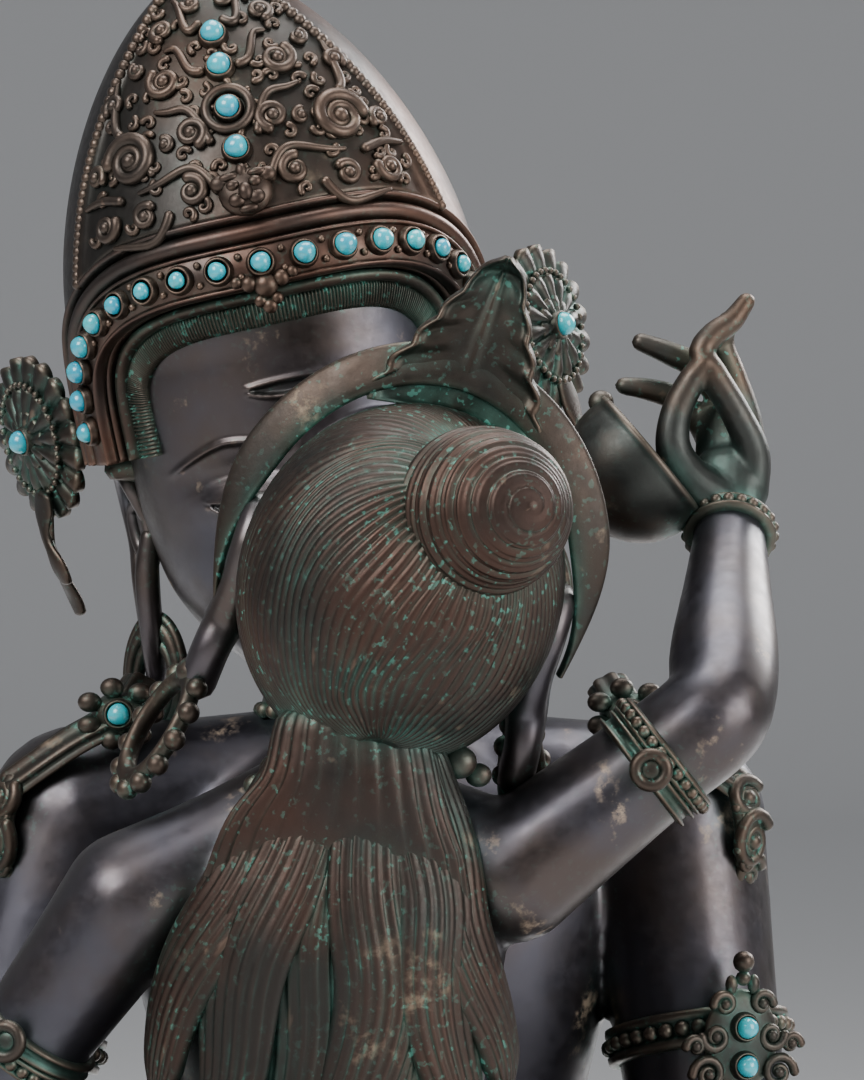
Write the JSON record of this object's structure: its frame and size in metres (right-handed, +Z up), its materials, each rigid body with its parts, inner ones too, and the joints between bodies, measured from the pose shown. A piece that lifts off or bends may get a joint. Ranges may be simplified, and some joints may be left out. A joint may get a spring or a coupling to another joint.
{
  "type": "paired deity statue",
  "caption": "Seated pair of embracing deities in dark patinated copper alloy on an oval lotus base; tall jewelled crown lifts off, consort lifts off its seat peg.",
  "frame": {"origin": "middle of the underside of the oval base, on the ground", "axes": "+Z up; the main figure faces -Y and the consort faces +Y; +X is the main figure's left"},
  "size_m": [0.236, 0.18, 0.3539],
  "materials": {
    "skin_bronze": "smooth satin, oxidised nearly black brown with a purple and blue sheen, brown where it is handled",
    "hair_bronze": "combed, oxidised black brown with reddish copper on the ridges and green verdigris in the grooves",
    "crown_bronze": "chased relief, black brown in the ground, worn rust brown on the raised scrolls",
    "ornament_bronze": "chased ornament, worn rust brown on the ridges, speckled green verdigris in the recesses",
    "base_bronze": "satin, oxidised brown, verdigris between the petals",
    "seal_copper": "beaten copper sheet, dull",
    "cup_copper": "oxidised outside, copper brown inside",
    "turquoise": "polished cabochons, opaque blue green"
  },
  "bodies": {
    "root": {"base_shell": "base_bronze", "base_plate": "seal_copper", "base_beading": "base_bronze", "tang_pins": "base_bronze", "main_lap": "skin_bronze", "main_torso": "skin_bronze", "main_head": "skin_bronze", "main_belt": "ornament_bronze", "main_necklace": "ornament_bronze", "main_arm_left": "skin_bronze", "main_arm_right": "skin_bronze", "main_hand_left": "skin_bronze", "main_hand_right": "skin_bronze", "main_armlet_left": "ornament_bronze", "main_armlet_right": "ornament_bronze", "main_bracelets": "ornament_bronze", "main_anklets": "ornament_bronze", "main_earrings": "ornament_bronze", "shoulder_ribbons": "ornament_bronze", "shoulder_scrolls": "ornament_bronze", "main_stones": "turquoise", "seat_peg": "base_bronze"},
    "consort": {"consort_torso": "skin_bronze", "consort_leg_left": "skin_bronze", "consort_leg_right": "skin_bronze", "consort_head": "skin_bronze", "consort_topknot": "hair_bronze", "consort_hair": "hair_bronze", "consort_tiara": "ornament_bronze", "consort_earrings": "ornament_bronze", "consort_necklace": "ornament_bronze", "consort_arm_left": "skin_bronze", "consort_arm_right": "skin_bronze", "consort_hand_left": "skin_bronze", "consort_hand_right": "skin_bronze", "consort_armlets": "ornament_bronze", "consort_bracelets": "ornament_bronze", "consort_anklets": "ornament_bronze", "consort_girdle": "ornament_bronze", "skull_cup": "cup_copper"},
    "crown": {"crown_cap": "crown_bronze", "crown_panel": "crown_bronze", "crown_moulding": "crown_bronze", "crown_band": "crown_bronze", "crown_pearls": "ornament_bronze", "crown_bezels": "ornament_bronze", "crown_stones": "turquoise", "crown_scrolls": "crown_bronze", "crown_mask": "crown_bronze", "crown_finial": "crown_bronze", "fan_left": "crown_bronze", "fan_right": "crown_bronze", "fan_stones": "turquoise"}
  },
  "joints": [
    {"name": "consort_lift", "type": "slide", "parent": "root", "child": "consort", "axis": [0, 0, 1], "range_m": [0, 0.012]},
    {"name": "crown_lift", "type": "slide", "parent": "root", "child": "crown", "axis": [-0.2119, -0.1045, 0.9717], "range_m": [0, 0.012]}
  ]
}
